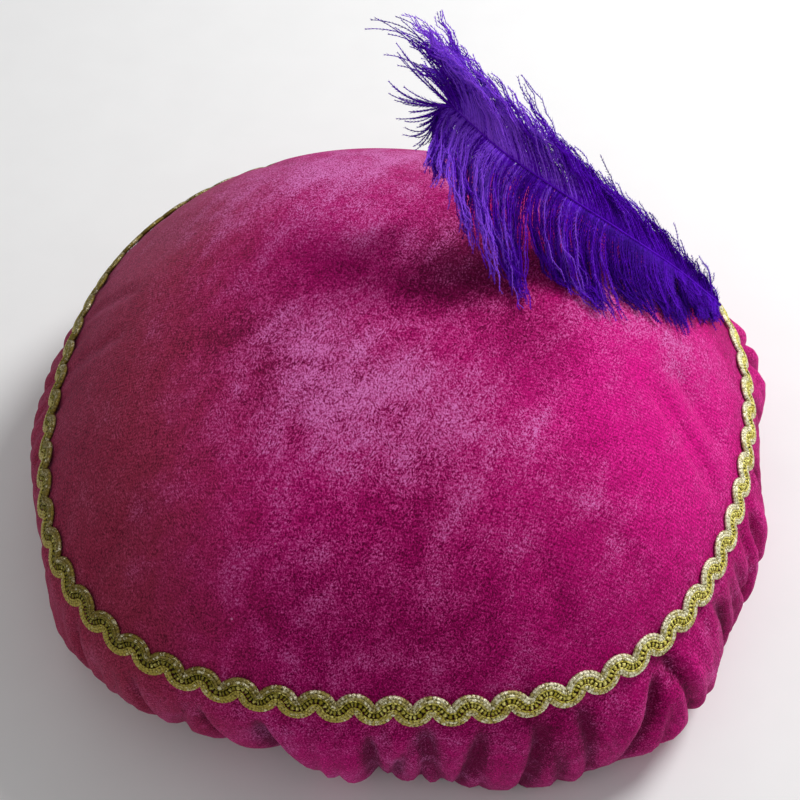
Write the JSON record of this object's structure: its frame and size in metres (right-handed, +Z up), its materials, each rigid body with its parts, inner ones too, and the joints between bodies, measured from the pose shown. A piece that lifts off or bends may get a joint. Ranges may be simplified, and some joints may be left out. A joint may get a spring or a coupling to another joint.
{
  "type": "feathered beret",
  "caption": "Soft puffed velvet beret gathered on an elastic head opening, with a scrolling gold gimp braid sewn round its shoulder and an ostrich plume arching over the crown.",
  "frame": {"origin": "centre of the overall footprint on the surface that the cap rests on", "axes": "+Z up through the crown, -Y towards the front of the picture, +X to its right, where the plume is tucked in"},
  "size_m": [0.299, 0.2988, 0.186],
  "materials": {
    "velvet": "crushed-pile stretch velvet with a soft sheen",
    "gimp": "metallic gold thread, finely glittering",
    "plume": "soft dyed barbs with a satin sheen"
  },
  "bodies": {
    "root": {"velvet_cap": "velvet", "gimp_braid": "gimp", "ostrich_plume": "plume"}
  },
  "joints": []
}
